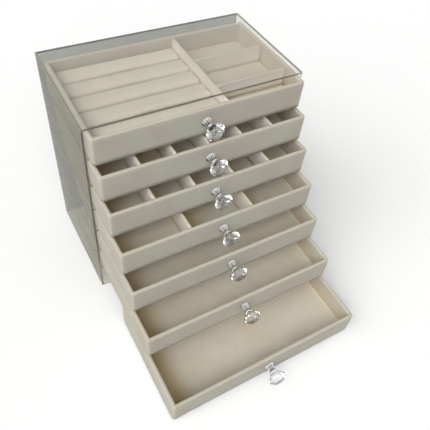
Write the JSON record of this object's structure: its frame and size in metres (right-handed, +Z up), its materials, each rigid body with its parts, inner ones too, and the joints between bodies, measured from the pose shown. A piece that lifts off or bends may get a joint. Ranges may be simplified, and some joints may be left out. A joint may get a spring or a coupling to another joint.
{
  "type": "jewellery box",
  "caption": "Clear acrylic jewellery case with a stack of velvet-covered drawers on runner strips, each with a crystal knob, padded ring rolls and dividers.",
  "frame": {"origin": "centre of the case's underside, on the surface it stands on", "axes": "+X to the right of someone facing the drawers, +Y to the back, +Z up; the drawers slide out along -Y"},
  "size_m": [0.235, 0.333, 0.2372],
  "materials": {
    "clear_sheet": "clear acrylic sheet, polished faces, cut edges that look darker",
    "clear_runner": "clear acrylic strip, cut edges",
    "board": "thin fibreboard, bare underneath",
    "velvet": "cream short-pile velvet glued over board, paler along the rounded edges",
    "velvet_lining": "cream short-pile velvet",
    "velvet_divider": "cream short-pile velvet over thin board",
    "velvet_roll": "cream short-pile velvet over foam",
    "chrome": "bright chrome plate",
    "crystal": "clear cut crystal with polished facets",
    "screw_steel": "zinc-plated steel"
  },
  "bodies": {
    "case": {"bottom_sheet": "clear_sheet", "top_sheet": "clear_sheet", "left_sheet": "clear_sheet", "right_sheet": "clear_sheet", "back_sheet": "clear_sheet", "left_runners": "clear_runner", "right_runners": "clear_runner"},
    "drawer_1": {"drawer_1_box": "board", "drawer_1_velvet": "velvet", "drawer_1_floor_lining": "velvet_lining", "drawer_1_knob_stem": "chrome", "drawer_1_crystal": "crystal", "drawer_1_knob_screw": "screw_steel", "drawer_1_long_divider": "velvet_divider", "drawer_1_cross_dividers": "velvet_divider", "ring_roll_1": "velvet_roll", "ring_roll_2": "velvet_roll", "ring_roll_3": "velvet_roll", "ring_roll_4": "velvet_roll", "ring_roll_5": "velvet_roll"},
    "drawer_2": {"drawer_2_box": "board", "drawer_2_velvet": "velvet", "drawer_2_floor_lining": "velvet_lining", "drawer_2_knob_stem": "chrome", "drawer_2_crystal": "crystal", "drawer_2_knob_screw": "screw_steel", "drawer_2_dividers": "velvet_divider"},
    "drawer_3": {"drawer_3_box": "board", "drawer_3_velvet": "velvet", "drawer_3_floor_lining": "velvet_lining", "drawer_3_knob_stem": "chrome", "drawer_3_crystal": "crystal", "drawer_3_knob_screw": "screw_steel", "drawer_3_dividers": "velvet_divider"},
    "drawer_4": {"drawer_4_box": "board", "drawer_4_velvet": "velvet", "drawer_4_floor_lining": "velvet_lining", "drawer_4_knob_stem": "chrome", "drawer_4_crystal": "crystal", "drawer_4_knob_screw": "screw_steel", "drawer_4_dividers": "velvet_divider"},
    "drawer_5": {"drawer_5_box": "board", "drawer_5_velvet": "velvet", "drawer_5_floor_lining": "velvet_lining", "drawer_5_knob_stem": "chrome", "drawer_5_crystal": "crystal", "drawer_5_knob_screw": "screw_steel"},
    "drawer_6": {"drawer_6_box": "board", "drawer_6_velvet": "velvet", "drawer_6_floor_lining": "velvet_lining", "drawer_6_knob_stem": "chrome", "drawer_6_crystal": "crystal", "drawer_6_knob_screw": "screw_steel"},
    "drawer_7": {"drawer_7_box": "board", "drawer_7_velvet": "velvet", "drawer_7_floor_lining": "velvet_lining", "drawer_7_knob_stem": "chrome", "drawer_7_crystal": "crystal", "drawer_7_knob_screw": "screw_steel"}
  },
  "joints": [
    {"name": "top_drawer_slide", "type": "slide", "parent": "case", "child": "drawer_1", "axis": [0, -1, 0], "range_m": [-0.012, 0.112]},
    {"name": "second_drawer_slide", "type": "slide", "parent": "case", "child": "drawer_2", "axis": [0, -1, 0], "range_m": [-0.0255, 0.0985]},
    {"name": "third_drawer_slide", "type": "slide", "parent": "case", "child": "drawer_3", "axis": [0, -1, 0], "range_m": [-0.0415, 0.0825]},
    {"name": "fourth_drawer_slide", "type": "slide", "parent": "case", "child": "drawer_4", "axis": [0, -1, 0], "range_m": [-0.064, 0.06]},
    {"name": "fifth_drawer_slide", "type": "slide", "parent": "case", "child": "drawer_5", "axis": [0, -1, 0], "range_m": [-0.0875, 0.0365]},
    {"name": "sixth_drawer_slide", "type": "slide", "parent": "case", "child": "drawer_6", "axis": [0, -1, 0], "range_m": [-0.123, 0.001]},
    {"name": "bottom_drawer_slide", "type": "slide", "parent": "case", "child": "drawer_7", "axis": [0, -1, 0], "range_m": [-0.182, 0]}
  ]
}
